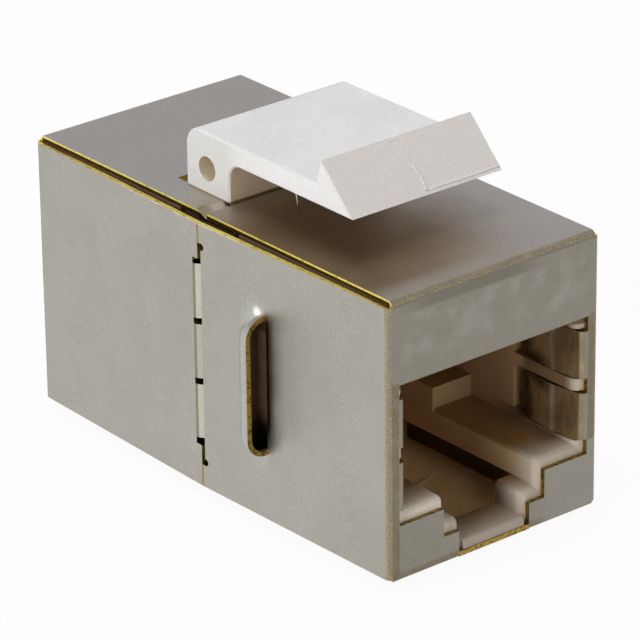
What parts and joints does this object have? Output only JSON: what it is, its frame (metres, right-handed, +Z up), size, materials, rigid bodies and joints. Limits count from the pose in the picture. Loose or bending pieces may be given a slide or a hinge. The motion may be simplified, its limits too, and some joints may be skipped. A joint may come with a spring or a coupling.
{
  "type": "keystone inline coupler",
  "caption": "Shielded inline coupler that joins two network leads end to end, with a port at each end and a snap latch for a keystone opening.",
  "frame": {"origin": "front port's face, middle of the width, at the level of the body's underside, where the part enters a keystone opening", "axes": "+X to the right seen from the front port, +Y from the front port to the rear port, +Z up to the snap latch"},
  "size_m": [0.0178, 0.0302, 0.0215],
  "materials": {
    "nickel_plated_sheet": "satin nickel plate over brass sheet, bare brass at the cut edges",
    "housing_plastic": "matt cream moulding",
    "latch_plastic": "fine matt white moulding",
    "holder_plastic": "matt cream moulding",
    "contact_metal": "gold-plated spring contact",
    "board_laminate": "solder-masked circuit laminate"
  },
  "bodies": {
    "root": {"front_shield": "nickel_plated_sheet", "rear_shield": "nickel_plated_sheet", "front_housing": "housing_plastic", "rear_housing": "housing_plastic", "front_contact_holder": "holder_plastic", "rear_contact_holder": "holder_plastic", "circuit_board": "board_laminate", "latch": "latch_plastic", "front_contact_1": "contact_metal", "front_contact_2": "contact_metal", "front_contact_3": "contact_metal", "front_contact_4": "contact_metal", "front_contact_5": "contact_metal", "front_contact_6": "contact_metal", "front_contact_7": "contact_metal", "front_contact_8": "contact_metal", "rear_contact_1": "contact_metal", "rear_contact_2": "contact_metal", "rear_contact_3": "contact_metal", "rear_contact_4": "contact_metal", "rear_contact_5": "contact_metal", "rear_contact_6": "contact_metal", "rear_contact_7": "contact_metal", "rear_contact_8": "contact_metal"}
  },
  "joints": []
}
